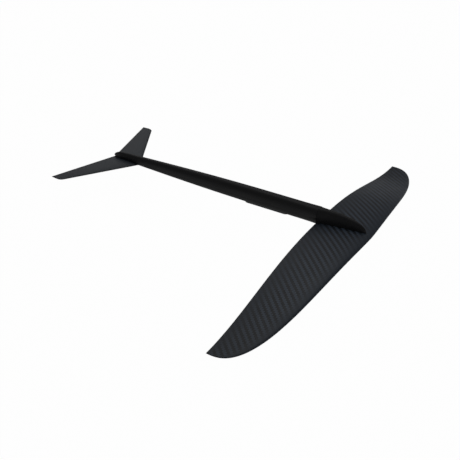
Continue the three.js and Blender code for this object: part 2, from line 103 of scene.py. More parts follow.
STAB_HALF_SPAN = 180.5
STAB_CHORD = 85.5
STAB_TIP_CHORD = 31
STAB_SWEEP = 50.5
STAB_TIP_RISE = 4
STAB_NOSE_DOWN = 2.4
STAB_THICKNESS = 0.09
STAB_TIP_ROUND = 7
STAB_TRAILING = Vector((-467, 0, HULL_AXIS - HULL_TAIL_RATIO * HULL_HALF_HEIGHT))
SPLIT_Z = STAB_TRAILING.z + 4

NOSE_START = 155
NOSE_TIP = 247.5
NOSE_HALF_WIDTH = 11.5
ROOT_FLARE = 6.5
FLARE_FORE, FLARE_AFT = 15, 16
print("the fuselage is split at", round(SPLIT_Z, 2), "mm")

# %% [markdown]
# ## The camera
#
# The camera comes first, because it tells which sides need the most care. It looks at the smooth side
# from the front and above, over the left end of the span.

# %% Camera
CAMERA_PLACE = Vector((0.70035, -1.22799, 0.79618))
CAMERA_AIM = Vector((-0.1058, 0, -0.1144))
CAMERA_ROLL = 0.503

bpy.ops.object.camera_add(location=CAMERA_PLACE)
camera = bpy.context.object
camera.data.sensor_width = 36
camera.data.lens = 54.39
sight = CAMERA_AIM - CAMERA_PLACE
level = sight.to_track_quat("-Z", "Y")
camera.rotation_mode = "QUATERNION"
camera.rotation_quaternion = Quaternion(sight, math.radians(CAMERA_ROLL)) @ level
bpy.context.scene.camera = camera
print("camera", round(sight.length, 3), "m from what it looks at")

# %% [markdown]
# ## Small tools
#
# Blender's operators act on what is selected, so each step starts by selecting nothing and then picks
# vertices by their place. A mesh is opened in edit mode, changed, and closed again.

# %% Selecting and editing
def leave():
    """Leave edit mode and select nothing."""
    if bpy.context.mode != "OBJECT":
        bpy.ops.object.mode_set(mode="OBJECT")
    bpy.ops.object.select_all(action="DESELECT")


def only(piece):
    """Select one object alone."""
    leave()
    piece.select_set(True)
    bpy.context.view_layer.objects.active = piece


def pick(piece, kind, test):
    """In edit mode, select the vertices, edges or faces that pass a test."""
    if bpy.context.mode != "EDIT_MESH":
        only(piece)
        bpy.ops.object.mode_set(mode="EDIT")
    bpy.ops.mesh.select_mode(type={"verts": "VERT", "edges": "EDGE", "faces": "FACE"}[kind])
    bpy.ops.mesh.select_all(action="DESELECT")
    cage = bmesh.from_edit_mesh(piece.data)
    chosen = [part for part in getattr(cage, kind) if test(part)]
    for part in chosen:
        part.select_set(True)
    cage.select_flush_mode()
    bmesh.update_edit_mesh(piece.data)


def reshape(piece, move):
    """Press every vertex into a new place."""
    cage = bmesh.from_edit_mesh(piece.data)
    for vertex in cage.verts:
        vertex.co = move(vertex.co)
    bmesh.update_edit_mesh(piece.data)


def settle(piece, name):
    """Name a new primitive and put its place and turn into its mesh."""
    only(piece)
    piece.name = name
    piece.data.name = name
    bpy.ops.object.transform_apply(location=True, rotation=True, scale=True)
    return piece


def apply_modifier(piece, kind, **settings):
    only(piece)
    modifier = piece.modifiers.new(kind.title(), kind)
    for key, value in settings.items():
        setattr(modifier, key, value)
    bpy.ops.object.modifier_apply(modifier=modifier.name)


def carve(piece, cutter):
    """Cut one closed shape out of another, and throw the cutter away."""
    apply_modifier(piece, "BOOLEAN", operation="DIFFERENCE", solver="MANIFOLD", object=cutter)
    bpy.data.objects.remove(cutter)


def smooth(piece, degrees=32):
    only(piece)
    bpy.ops.object.shade_smooth_by_angle(angle=math.radians(degrees))


def report(piece):
    faces = len(piece.data.polygons)
    size = [round(side / MM, 1) for side in piece.dimensions]
    print(f"{piece.name}: {faces} faces, {size} mm")


print("tools ready")

# %% [markdown]
# ## Carrying a section along a body
#
# A boat builder sets up ribs and planks over them. The same works here: one rib is drawn, and then
# extruded from station to station, moved and scaled each time. A station is the rib's foot and its
# size against the first rib.

# %% Loft by extruding
def loft(stations):
    """Extrude the selected rib through stations of (foot in mm, scale)."""
    for (foot, size), (next_foot, next_size) in zip(stations, stations[1:]):
        step = (next_foot - foot) * MM
        bpy.ops.mesh.extrude_region_move(TRANSFORM_OT_translate={"value": step})
        ratio = [new / old for new, old in zip(next_size, size)]
        bpy.ops.transform.resize(value=ratio, center_override=next_foot * MM)


def even(start, end, steps):
    return [start + (end - start) * i / steps for i in range(steps + 1)]


def eased(start, end, steps):
    """Stations that crowd together towards the end."""
    return [start + (end - start) * math.sin(u * math.pi / 2) for u in even(0, 1, steps)]


print("eased stations:", [round(v, 2) for v in eased(0, 1, 4)])

# %% [markdown]
# ## The foil section
#
# A wing's section has its points closest together at the nose, where it turns fastest. The points of a
# circle, looked at from above, are spaced just so. So each rib starts as a circle as long as the chord,
# half of it is deleted, and the rest is pressed from a half round into the section's height. No operator
# draws a foil section, so these points are moved in code.

# %% Foil section
RIB_POINTS = 88


def half_section(share, thickness):
    """Half the thickness of a four digit section at a share of the chord from its nose."""
    curve = 0.2969 * math.sqrt(share) - 0.126 * share - 0.3516 * share**2
    return 5 * thickness * (curve + 0.2843 * share**3 - 0.1036 * share**4)


def foil_height(side, share, chord, thickness, nose_down, camber, grow=0.0):
    """Height of the skin above the trailing edge, and the depth from the middle line to it."""
    depth = chord * half_section(share, thickness) + EDGE * share + grow
    middle = -nose_down * (1 - share) - 4 * camber * share * (1 - share) * chord
    return middle + side * depth, depth


def rib(name, side, trailing, chord, thickness, nose_down, camber, grow=0.0):
    """Half a foil section on the middle plane: side is 1 for the smooth skin, -1 for the other."""
    leave()
    bpy.ops.mesh.primitive_circle_add(
        vertices=RIB_POINTS,
        radius=(chord / 2 + grow) * MM,
        location=(trailing + Vector((chord / 2, 0, 0))) * MM,
        rotation=(math.pi / 2, 0, 0),
    )
    piece = settle(bpy.context.object, name)
    foot = trailing.z * MM
    pick(piece, "verts", lambda v: (v.co.z - foot) * side < -0.01 * MM)
    bpy.ops.mesh.delete(type="VERT")

    def press(place):
        share = (trailing.x + chord + grow - place.x / MM) / (chord + 2 * grow)
        share = min(max(share, 0), 1)
        height, _ = foil_height(side, share, chord, thickness, nose_down, camber, grow)
        return Vector((place.x, place.y, (trailing.z + height) * MM))

    reshape(piece, press)
    pick(piece, "verts", lambda v: True)
    return piece


print("thickest at 30 % of the chord:", round(2 * 127 * half_section(0.3, WING_THICKNESS), 1), "mm")

# %% [markdown]
# ## The wing's skins
#
# Each skin is one half of a clamshell moulding, about 1.2 mm thick, and the two are bonded along the
# leading and trailing edges. The rib is carried from the middle to the tip, mirrored, and then given its
# thickness inwards. The wall thins towards the edges, where the two halves would meet each other.

# %% Skin shapes
def skin_walls(piece, wall, depth_at):
    """Thickness inwards, thinner where the foil itself is thin."""
    group = piece.vertex_groups.new(name="wall")
    for vertex in piece.data.vertices:
        room = depth_at(vertex.co) - GAP / 2
        group.add([vertex.index], min(max(room / wall, 0.02), 1), "REPLACE")
    apply_modifier(piece, "SOLIDIFY", thickness=wall * MM, offset=-1, vertex_group="wall",
                   thickness_vertex_group=0.02)
    piece.vertex_groups.clear()


def close_skin(piece, side, wall, depth_at):
    only(piece)
    apply_modifier(piece, "MIRROR", use_axis=(False, True, False), merge_threshold=0.01 * MM)
    up = sum(face.normal.z * face.area for face in piece.data.polygons)
    if up * side < 0:
        pick(piece, "faces", lambda face: True)
        bpy.ops.mesh.flip_normals()
        only(piece)
    skin_walls(piece, wall, depth_at)
    smooth(piece, 40)


def wing_chord(share):
    return (1 - share**WING_TAPER_POWER) ** WING_TIP_POWER


def wing_station(share):
    size = wing_chord(share)
    thin = 1 + (WING_TIP_THICKNESS / WING_THICKNESS - 1) * share
    drop = WING_TIP_DROP * (1 - math.cos(math.pi * share**WING_ARCH_POWER)) / 2
    return WING_TRAILING + Vector((0, WING_HALF_SPAN * share, -drop)), (size, 1, size * thin)


def wing_depth(place):
    share_y = min(abs(place.y) / MM / WING_HALF_SPAN, 0.9999)
    chord = WING_CHORD * wing_chord(share_y)
    share = min(max(1 - (place.x / MM - WING_TRAILING.x) / chord, 0), 1)
    thickness = WING_THICKNESS + (WING_TIP_THICKNESS - WING_THICKNESS) * share_y
    return foil_height(1, share, chord, thickness, 0, 0)[1]


wing_shares = eased(0, 0.9985, 40) + [0.9993, 0.9998]
wing_stations = [wing_station(share) for share in wing_shares]
wing_skins = {}
for side, name in ((1, "smooth"), (-1, "mast")):
    skin = rib(f"wing_skin_{name}", side, WING_TRAILING, WING_CHORD, WING_THICKNESS, WING_NOSE_DOWN,
               WING_CAMBER)
    loft(wing_stations)
    close_skin(skin, side, 1.2, wing_depth)
    wing_skins[name] = skin
    report(skin)

# %% [markdown]
# ## The stabiliser's skins
#
# The stabiliser is a small straight sided wing, swept back, that keeps the set level. Its chord falls
# evenly to the tip, where the nose is rounded off over the last few millimetres.

# %% Stabiliser skins
def stab_chord(reach):
    past = max(0, reach - STAB_HALF_SPAN + STAB_TIP_ROUND) / STAB_TIP_ROUND
    rounding = STAB_TIP_ROUND * (1 - math.sqrt(max(0, 1 - past**2)))
    straight = STAB_CHORD + (STAB_TIP_CHORD - STAB_CHORD) * reach / STAB_HALF_SPAN
    return straight - rounding


def stab_station(reach):
    share = reach / STAB_HALF_SPAN
    size = stab_chord(reach) / STAB_CHORD
    return STAB_TRAILING + Vector((-STAB_SWEEP * share, reach, STAB_TIP_RISE * share)), (size, 1, size)


def stab_depth(place):
    reach = min(abs(place.y) / MM, STAB_HALF_SPAN * 0.9999)
    chord = stab_chord(reach)
    edge = STAB_TRAILING.x - STAB_SWEEP * reach / STAB_HALF_SPAN
    share = min(max(1 - (place.x / MM - edge) / chord, 0), 1)
    return foil_height(1, share, chord, STAB_THICKNESS, 0, 0)[1]


straight_reach = STAB_HALF_SPAN - STAB_TIP_ROUND
stab_reaches = even(0, straight_reach, 16) + eased(straight_reach, STAB_HALF_SPAN * 0.9985, 8)[1:]
stab_stations = [stab_station(reach) for reach in stab_reaches]
stab_skins = {}
for side, name in ((1, "smooth"), (-1, "mast")):
    skin = rib(f"stab_skin_{name}", side, STAB_TRAILING, STAB_CHORD, STAB_THICKNESS, STAB_NOSE_DOWN, 0)
    loft(stab_stations)
    close_skin(skin, side, 1.0, stab_depth)
    stab_skins[name] = skin
    report(skin)

# %% [markdown]
# ## The fuselage's shells
#
# The fuselage is a hollow boom of two shells. Its rib is a little squarer than an ellipse, and it grows
# from the tail to the mast socket. Over the wing the upper shell becomes a fairing, which stands on the
# wing's skin and closes to a point just behind the leading edge.

# %% Fuselage rib and its size along the boom
ARCH_POINTS = 64


def hull_scale(x):
    share = min(max((x - HULL_TAIL_X) / HULL_TAPER, 0), 1)
    return HULL_TAIL_RATIO + (1 - HULL_TAIL_RATIO) * math.sin(share * math.pi / 2)


def nose_share(x):
    along = max(0, x - NOSE_START) / (NOSE_TIP - NOSE_START)
    return math.sqrt(max(0, 1 - along**2))


def tail_share(x):
    short = max(0, 1 - (x - HULL_TAIL_X) / HULL_TAIL_ROUND)
    return HULL_TAIL_END + (1 - HULL_TAIL_END) * math.sqrt(max(0, 1 - short**2))


def hull_half_width(x):
    if x > WING_TRAILING.x:
        flare = ROOT_FLARE * math.exp((WING_TRAILING.x - x) / FLARE_FORE)
        return (NOSE_HALF_WIDTH + flare) * nose_share(x)
    step = NOSE_HALF_WIDTH + ROOT_FLARE - HULL_HALF_WIDTH
    flare = step * math.exp((x - WING_TRAILING.x) / FLARE_AFT)
    return HULL_HALF_WIDTH * hull_scale(x) * tail_share(x) + flare


def wing_surface(x):
    """Height of the wing's skin in the middle plane."""
    share = min(max(1 - (x - WING_TRAILING.x) / WING_CHORD, 0), 1)
    height, _ = foil_height(1, share, WING_CHORD, WING_THICKNESS, WING_NOSE_DOWN, WING_CAMBER)
    return WING_TRAILING.z + height


def smooth_base(x):
    return wing_surface(x) + GAP if x > WING_TRAILING.x else SPLIT_Z


def smooth_size(x):
    top = HULL_AXIS + HULL_HALF_HEIGHT * hull_scale(x)
    height = (top - smooth_base(x)) * nose_share(x) * tail_share(x)
    return Vector((x, 0, smooth_base(x))), (1, hull_half_width(x), height)


def mast_size(x):
    base = SPLIT_Z - GAP
    depth = base - (HULL_AXIS - HULL_HALF_HEIGHT * hull_scale(x))
    return Vector((x, 0, base)), (1, hull_half_width(x), depth)


def arch(name, station, side, power):
    """Half a ring across the boom, pressed from a circle into a squarer curve."""
    foot, (_, half_width, height) = station
    leave()
    bpy.ops.mesh.primitive_circle_add(
        vertices=ARCH_POINTS, radius=1, location=foot * MM, rotation=(0, math.pi / 2, 0)
    )
    piece = settle(bpy.context.object, name)
    pick(piece, "verts", lambda v: (v.co.z - foot.z * MM) * side < -0.001)
    bpy.ops.mesh.delete(type="VERT")

    def press(place):
        across, up = place.y, abs(place.z - foot.z * MM)
        squarer = [abs(part) ** (2 / power) for part in (across, up)]
        y = math.copysign(squarer[0], across) * half_width
        z = foot.z + side * squarer[1] * height
        return Vector((place.x, y * MM, z * MM))

    reshape(piece, press)
    pick(piece, "verts", lambda v: True)
    return piece


print("half width at the tail and at the socket:",
      [round(hull_half_width(x), 1) for x in (-434, 0)], "mm")

# %% [markdown]
# The upper shell starts from the rib where the tail begins to round off, and runs forward to the nose.
# Then the first rib is picked again and carried back to close the tail. Each end's last ring is merged
# into one point, so that no hole is left.

# %% Upper shell
tail_round_x = HULL_TAIL_X + HULL_TAIL_ROUND
step_x = [WING_TRAILING.x - GAP, WING_TRAILING.x + GAP / 4]
forward = even(tail_round_x, step_x[0], 26) + even(step_x[1], NOSE_START, 4) \
    + eased(NOSE_START, NOSE_TIP - 0.1, 22)[1:]
backward = eased(tail_round_x, HULL_TAIL_X + 0.1, 12)


SAME_PLACE = 0.03


def close_end(piece, x):
    pick(piece, "verts", lambda v: abs(v.co.x / MM - x) < SAME_PLACE)
    bpy.ops.mesh.merge(type="CENTER")


def shell_walls(piece, side):
    """Thickness inwards, never more than the shell has room for."""
    only(piece)
    up = sum(face.normal.z * face.area for face in piece.data.polygons)
    if up * side < 0:
        pick(piece, "faces", lambda face: True)
        bpy.ops.mesh.flip_normals()
        only(piece)
    group = piece.vertex_groups.new(name="wall")
    for vertex in piece.data.vertices:
        room = hull_half_width(vertex.co.x / MM) * 0.4
        group.add([vertex.index], min(max(room / HULL_WALL, 0.02), 1), "REPLACE")
    apply_modifier(piece, "SOLIDIFY", thickness=HULL_WALL * MM, offset=-1, vertex_group="wall",
                   thickness_vertex_group=0.02)
    piece.vertex_groups.clear()


upper_shell = arch("fuselage_upper_shell", smooth_size(tail_round_x), 1, SMOOTH_POWER)
loft([smooth_size(x) for x in forward])
pick(upper_shell, "verts", lambda v: abs(v.co.x / MM - tail_round_x) < SAME_PLACE)
loft([smooth_size(x) for x in backward])
close_end(upper_shell, forward[-1])
close_end(upper_shell, backward[-1])
shell_walls(upper_shell, 1)
smooth(upper_shell, 45)
report(upper_shell)

# %% [markdown]
# The lower shell is shorter: it begins at the stabiliser's leading edge, and feathers out as a thin
# tongue under the wing's trailing edge. The tongue is trimmed with a cutter that has the wing's own
# underside, and the opening for the mast socket's collar is cut by a bar with round ends.

# %% Lower shell
ROUND_STEPS = 14


def round_bar(name, length, width, low, high):
    """An upright bar with round ends, lengthways along the fuselage."""
    leave()
    bpy.ops.mesh.primitive_cube_add(size=MM, location=(0, 0, (low + high) / 2 * MM))
    piece = bpy.context.object
    piece.scale = (length, width, high - low)
    settle(piece, name)
    pick(piece, "edges", lambda e: abs(e.verts[0].co.z - e.verts[1].co.z) > (high - low) * MM / 2)
    bpy.ops.mesh.bevel(offset=width / 2 * MM * 0.9999, segments=ROUND_STEPS, affect="EDGES")
    pick(piece, "verts", lambda v: True)
    bpy.ops.mesh.remove_doubles(threshold=0.02 * MM)
    only(piece)
    return piece


shell_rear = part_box("fuselage_mast_shell")[0].x / MM
tongue_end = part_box("fuselage_mast_shell")[1].x / MM
lower_x = even(shell_rear, step_x[0], 24) + even(step_x[0] + GAP, tongue_end, 6)
lower_shell = arch("fuselage_lower_shell", mast_size(shell_rear), -1, MAST_POWER)
loft([mast_size(x) for x in lower_x])
pick(lower_shell, "verts", lambda v: abs(v.co.x / MM - shell_rear) < SAME_PLACE)
bpy.ops.mesh.edge_face_add()
shell_walls(lower_shell, -1)

wing_room = rib("wing_room", -1, WING_TRAILING, WING_CHORD, WING_THICKNESS, WING_NOSE_DOWN,
                WING_CAMBER, grow=GAP)
bpy.ops.transform.translate(value=(0, -40 * MM, 0))
bpy.ops.mesh.extrude_region_move(TRANSFORM_OT_translate={"value": (0, 80 * MM, 0)})
pick(wing_room, "faces", lambda face: True)
bpy.ops.mesh.extrude_region_move(TRANSFORM_OT_translate={"value": (0, 0, 40 * MM)})
pick(wing_room, "faces", lambda face: True)
bpy.ops.mesh.normals_make_consistent(inside=False)
only(wing_room)
carve(lower_shell, wing_room)
collar_low, collar_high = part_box("mast_socket_block")
collar_z = collar_low.z / MM
COLLAR_LENGTH, COLLAR_WIDTH = 120, 23
carve(lower_shell, round_bar("collar_room", COLLAR_LENGTH + 2 * GAP, COLLAR_WIDTH + 2 * GAP, -40, 0))
smooth(lower_shell, 35)
report(lower_shell)

# %% [markdown]
# ## The mast socket
#
# The mast's foot is a bar with round ends, and it plugs into a pocket of the same outline. The socket is
# one milled block, bonded into the fuselage: its body fills the boom, and its collar comes out through
# the lower shell. It starts as a cube. The body's long edges are bevelled to follow the inside of the
# boom, the collar is a second bar joined on, and the pocket and the screw holes are milled out.

# %% Socket block
POCKET_LENGTH, POCKET_WIDTH = 112, 15
SOCKET_WIDTH, SOCKET_HEIGHT, SOCKET_MIDDLE, SOCKET_ROUND = 24, 30, 4.9, 9
block_length = (collar_high.x - collar_low.x) / MM
leave()
bpy.ops.mesh.primitive_cube_add(size=MM, location=(0, 0, SOCKET_MIDDLE * MM))
socket = bpy.context.object
socket.scale = (block_length, SOCKET_WIDTH, SOCKET_HEIGHT)
settle(socket, "mast_socket")
pick(socket, "edges", lambda e: abs(e.verts[0].co.x - e.verts[1].co.x) > 10 * MM)
bpy.ops.mesh.bevel(offset=SOCKET_ROUND * MM, segments=8, affect="EDGES")

collar = round_bar("collar", COLLAR_LENGTH, COLLAR_WIDTH, collar_z, -5)
pick(collar, "edges", lambda e: all(v.co.z < (collar_z + 0.01) * MM for v in e.verts))
bpy.ops.mesh.bevel(offset=1 * MM, segments=3, affect="EDGES")
only(collar)
apply_modifier(socket, "BOOLEAN", operation="UNION", solver="MANIFOLD", object=collar)
bpy.data.objects.remove(collar)

pocket = round_bar("pocket", POCKET_LENGTH, POCKET_WIDTH, -40, 0)
carve(socket, pocket)
mast_inserts = [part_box(name) for name in ("mast_insert_1", "mast_insert_2")]
INSERT_RADIUS = 6
for low, high in mast_inserts:
    bpy.ops.mesh.primitive_cylinder_add(
        vertices=48, radius=(INSERT_RADIUS + GAP) * MM, depth=high.z - low.z + 4 * MM,
        location=((low.x + high.x) / 2, 0, (low.z + high.z) / 2 - 1.7 * MM),
    )
    carve(socket, settle(bpy.context.object, "insert_room"))
apply_modifier(socket, "BEVEL", width=0.25 * MM, segments=2, limit_method="ANGLE",
               angle_limit=math.radians(50))
smooth(socket, 35)
report(socket)

# %% [markdown]
# ## Threaded inserts
#
# The mast's two screws run into stainless bushes. A bush is turned: a ring is carried down the bore in
# half pitches, in and out, which draws the thread's crests and roots as a lathe would, ring by ring.

# %% Mast inserts
THREAD_PITCH = 1.25


def bush(name, outer, bore, length, pitch):
    """A turned bush that stands on the origin, with ridges down its bore."""
    leave()
    bpy.ops.mesh.primitive_circle_add(vertices=40, radius=(bore + 0.7) * MM)
    piece = settle(bpy.context.object, name)
    pick(piece, "verts", lambda v: True)
    rings = [(bore + 0.7, 0), (bore, 0.7)]
    height = 0.7
    while height + pitch < length:
        rings.append((bore + 0.55, height + pitch / 2))
        rings.append((bore, height + pitch))
        height += pitch
    third = length / 3
    rings += [(bore, length), (outer - 0.3, length), (outer, length - 0.3), (outer, 2 * third)]
    rings += [(outer - 0.4, 2 * third - 0.4), (outer - 0.4, third + 0.4), (outer, third), (outer, 0.3)]
    rings += [(outer - 0.3, 0)]
    loft([(Vector((0, 0, z)), (radius, radius, 1)) for radius, z in rings])
    pick(piece, "edges", lambda e: e.is_boundary)
    bpy.ops.mesh.bridge_edge_loops()
    pick(piece, "faces", lambda face: True)
    bpy.ops.mesh.normals_make_consistent(inside=False)
    smooth(piece, 30)
    return piece


def put(piece, place):
    """Move a finished piece, keeping its object at the origin."""
    piece.location = place
    only(piece)
    bpy.ops.object.transform_apply(location=True, rotation=False, scale=False)
    return piece


def copy_of(piece, name):
    twin = piece.copy()
    twin.data = piece.data.copy()
    twin.name = name
    twin.data.name = name
    bpy.context.collection.objects.link(twin)
    return twin


low, high = mast_inserts[0]
bush_pattern = bush("mast_bush", INSERT_RADIUS, 3.4, (high.z - low.z) / MM, THREAD_PITCH)
mast_bushes = []
for number, (low, high) in enumerate(mast_inserts, 1):
    twin = copy_of(bush_pattern, f"mast_bush_{number}")
    mast_bushes.append(put(twin, ((low.x + high.x) / 2, 0, low.z)))
bpy.data.objects.remove(bush_pattern)
report(mast_bushes[0])

# %% [markdown]
# ## Countersunk screws
#
# The wing and the stabiliser are held by countersunk screws with a hexagon socket. A screw is drawn
# from its face up: the face's edge, a short upright rim, the cone and the shank. The socket is cut by a
# six sided bar, and a small bevel takes the sharpness off the edges that catch the light.

# %% Screws
def countersunk(name, head, radius, cone, length, flats, socket_depth):
    leave()
    bpy.ops.mesh.primitive_circle_add(vertices=64, radius=head * MM, fill_type="NGON")
    piece = settle(bpy.context.object, name)
    pick(piece, "faces", lambda face: True)
    rings = [(head, 0), (head, 0.3), (radius, cone), (radius, length - 0.6), (radius - 0.5, length)]
    loft([(Vector((0, 0, z)), (size, size, 1)) for size, z in rings])
    pick(piece, "faces", lambda face: True)
    bpy.ops.mesh.normals_make_consistent(inside=False)
    only(piece)
    bpy.ops.mesh.primitive_cylinder_add(
        vertices=6, radius=flats / math.sqrt(3) * MM, depth=2 * socket_depth * MM
    )
    carve(piece, settle(bpy.context.object, "hexagon"))
    apply_modifier(piece, "BEVEL", width=0.18 * MM, segments=2, limit_method="ANGLE",
                   angle_limit=math.radians(40))
    smooth(piece, 30)
    return piece


def place_screws(pattern, nodes, name):
    placed = []
    for number, node in enumerate(nodes, 1):
        low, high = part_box(node)
        twin = copy_of(pattern, f"{name}_{number}")
        placed.append(put(twin, ((low.x + high.x) / 2, 0, low.z)))
    bpy.data.objects.remove(pattern)
    return placed


def length_of(node):
    low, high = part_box(node)
    return (high.z - low.z) / MM


wing_screw_nodes = ["wing_screw_1", "wing_screw_2", "wing_screw_3"]
stab_screw_nodes = ["stab_screw_1", "stab_screw_2"]
wing_screws = place_screws(
    countersunk("wing_screw_shape", 6, 3, 3.2, length_of("wing_screw_1"), 4, 2.4),
    wing_screw_nodes, "wing_bolt")
stab_screws = place_screws(
    countersunk("stab_screw_shape", 5, 2.5, 2.7, length_of("stab_screw_1"), 3, 2.0),
    stab_screw_nodes, "stab_bolt")
report(wing_screws[0])
report(stab_screws[0])

# %% [markdown]
# The skins still cover the screws. Each hole is cut as a drill would: straight through, one clearance
# wider than the head on the mast side, and one clearance wider than the shank on the smooth side.

# %% Screw holes in the skins
def drill(piece, node, radius, from_z, to_z):
    low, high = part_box(node)
    leave()
    bpy.ops.mesh.primitive_cylinder_add(
        vertices=64, radius=radius * MM, depth=(to_z - from_z) * MM,
        location=((low.x + high.x) / 2, 0, (from_z + to_z) / 2 * MM),
    )
    carve(piece, settle(bpy.context.object, "drill"))


for node in wing_screw_nodes:
    drill(wing_skins["mast"], node, 6 + GAP, -40, WING_TRAILING.z)
    drill(wing_skins["smooth"], node, 3 + GAP, WING_TRAILING.z, 20)
for node in stab_screw_nodes:
    drill(stab_skins["mast"], node, 5 + GAP, -20, STAB_TRAILING.z - 1)
    drill(stab_skins["smooth"], node, 2.5 + GAP, STAB_TRAILING.z - 1, 10)
for skin in (*wing_skins.values(), *stab_skins.values()):
    smooth(skin, 40)
    report(skin)

# %% [markdown]
# ## Colours and nodes
#
# Colours are written as they look on a screen, in hexadecimal, and one function turns them into the
# linear values that light is reckoned in. Another adds a node with its settings and links.

# %% Colour and node helpers
def linear(code):
    channels = [int(code[i:i + 2], 16) / 255 for i in (1, 3, 5)]
    return [c / 12.92 if c <= 0.04045 else ((c + 0.055) / 1.055) ** 2.4 for c in channels] + [1]


def node(tree, kind, inputs=None, **settings):
    """Add a node. Inputs are values, or sockets of other nodes to link."""
    new = tree.nodes.new("ShaderNode" + kind)
    for key, value in settings.items():
        setattr(new, key, value)
    for key, value in (inputs or {}).items():
        if isinstance(value, bpy.types.NodeSocket):
            tree.links.new(value, new.inputs[key])
        else:
            new.inputs[key].default_value = value
    return new


def finish_named(name, **shader):
    """A new material: its tree, its shader and the object's own coordinates."""
    material = bpy.data.materials.new(name)
    material.use_nodes = True
    tree = material.node_tree
    surface = tree.nodes["Principled BSDF"]
    for key, value in shader.items():
        surface.inputs[key.replace("_", " ")].default_value = value
    place = node(tree, "TexCoord").outputs["Object"]
    return material, tree, surface, place


def maths(tree, operation, first, second=0.0):
    return node(tree, "Math", {0: first, 1: second}, operation=operation).outputs[0]


def blend_colours(tree, factor, first, second):
    return node(tree, "Mix", {"Factor": factor, 6: first, 7: second}, data_type="RGBA").outputs[2]


def scaled(tree, place, scale):
    return node(tree, "Mapping", {"Vector": place, "Scale": scale}).outputs["Vector"]


def grain(tree, place, scale, detail=3.0):
    """Noise between 0 and 1, with a size given for each direction."""
    vector = scaled(tree, place, scale)
    return node(tree, "TexNoise", {"Vector": vector, "Scale": 1.0, "Detail": detail,
                                   "Roughness": 0.5}).outputs["Fac"]


def relief(tree, surface, height, depth_mm):
    bump = node(tree, "Bump", {"Height": height, "Distance": depth_mm * MM, "Strength": 1.0})
    tree.links.new(bump.outputs["Normal"], surface.inputs["Normal"])


print("slate in linear light:", [round(c, 4) for c in linear("#2b333a")[:3]])

# %% [markdown]
# ## Satin carbon twill
#
# The front wing is laminated under a twill of broad tows, flat bundles of carbon about 4 mm wide. Each
# tow runs over two others and under the next two, one place further along each time, so that the floats
# line up in diagonal ribs. Fibres reflect across their length, and that reflection is painted into the
# colour: where the lengthways tows lie on top the cloth is painted lighter, and where the crossways tows
# do it is painted darker. A satin clear coat lies on top: the shader's own gloss stands for it. The
# painted reflection of the ribs fades towards the leading and trailing edges, and painted shade darkens
# the rear of the chord and the tips.

# %% Twill material
TOW_ALONG_CHORD = 4.39
TOW_ALONG_SPAN = 4.02
TWILL_DARK = "#0e141b"
TWILL_LIGHT = "#434e5d"

twill, tree, surface, place = finish_named("satin_carbon_twill", Roughness=0.42, IOR=1.45)
parts = node(tree, "SeparateXYZ", {"Vector": place}).outputs
x, y = parts["X"], parts["Y"]
reach = maths(tree, "DIVIDE", maths(tree, "ABSOLUTE", y), WING_HALF_SPAN * MM)
reach = maths(tree, "MINIMUM", reach, 0.9995)
taper = maths(tree, "POWER", reach, WING_TAPER_POWER)
plan = maths(tree, "POWER", maths(tree, "SUBTRACT", 1.0, taper), WING_TIP_POWER)
ahead = maths(tree, "DIVIDE", maths(tree, "SUBTRACT", x, WING_TRAILING.x * MM), WING_CHORD * MM)
from_nose = maths(tree, "SUBTRACT", 1.0, maths(tree, "DIVIDE", ahead, plan))

# The cloth slides a few millimetres where it is laid over the middle of the mould.
slide = node(tree, "MapRange", {"Value": y, "From Min": -0.02, "From Max": 0.08, "To Min": -0.46,
                                "To Max": 0.74}, interpolation_type="SMOOTHSTEP").outputs[0]
u = maths(tree, "DIVIDE", x, TOW_ALONG_CHORD * MM)
v = maths(tree, "ADD", maths(tree, "DIVIDE", y, TOW_ALONG_SPAN * MM), slide)
rank = maths(tree, "ADD", maths(tree, "FLOOR", u), maths(tree, "FLOOR", v))
turn = maths(tree, "FLOORED_MODULO", rank, 4.0)
warp_up = maths(tree, "LESS_THAN", turn, 1.5)

across_warp = maths(tree, "SINE", maths(tree, "MULTIPLY", maths(tree, "FRACT", v), math.pi))
across_weft = maths(tree, "SINE", maths(tree, "MULTIPLY", maths(tree, "FRACT", u), math.pi))
crown = node(tree, "Mix", {"Factor": warp_up, 2: across_weft, 3: across_warp}).outputs[0]
fibres_warp = grain(tree, place, (60, 2600, 60), detail=2)
fibres_weft = grain(tree, place, (2600, 60, 60), detail=2)
fibres = node(tree, "Mix", {"Factor": warp_up, 2: fibres_weft, 3: fibres_warp}).outputs[0]

# Painted reflection: the tows' painted sheen fades towards the leading edge and towards the rear of the
# chord.
nose_sheen_fade = node(tree, "MapRange", {"Value": from_nose, "From Min": 0.03, "From Max": 0.3, "To Min": 0.12,
                                    "To Max": 1.0}, interpolation_type="SMOOTHSTEP").outputs[0]
rear_sheen_fade = node(tree, "MapRange", {"Value": from_nose, "From Min": 0.6, "From Max": 0.97, "To Min": 1.0,
                                    "To Max": 0.3}, interpolation_type="SMOOTHSTEP").outputs[0]
wander = node(tree, "MapRange", {"Value": grain(tree, place, (9, 9, 9), detail=2), "From Min": 0.3,
                                 "From Max": 0.7, "To Min": 0.75, "To Max": 1.0}).outputs[0]
show = maths(tree, "MULTIPLY", maths(tree, "MULTIPLY", nose_sheen_fade, rear_sheen_fade), wander)
# The tows' painted reflection: lighter where the lengthways tows lie on top, darker where the crossways tows
# do.
lift = maths(tree, "ADD", 0.5, maths(tree, "MULTIPLY", show, maths(tree, "SUBTRACT", warp_up, 0.5)))
streaks = maths(tree, "MULTIPLY", maths(tree, "SUBTRACT", fibres, 0.5), 0.35)
shade = maths(tree, "ADD", lift, maths(tree, "MULTIPLY", streaks, show))
cloth = blend_colours(tree, shade, linear(TWILL_DARK), linear(TWILL_LIGHT))
seam = maths(tree, "POWER", crown, 0.35)
seam = node(tree, "MapRange", {"Value": seam, "To Min": 0.72, "To Max": 1.0}).outputs[0]
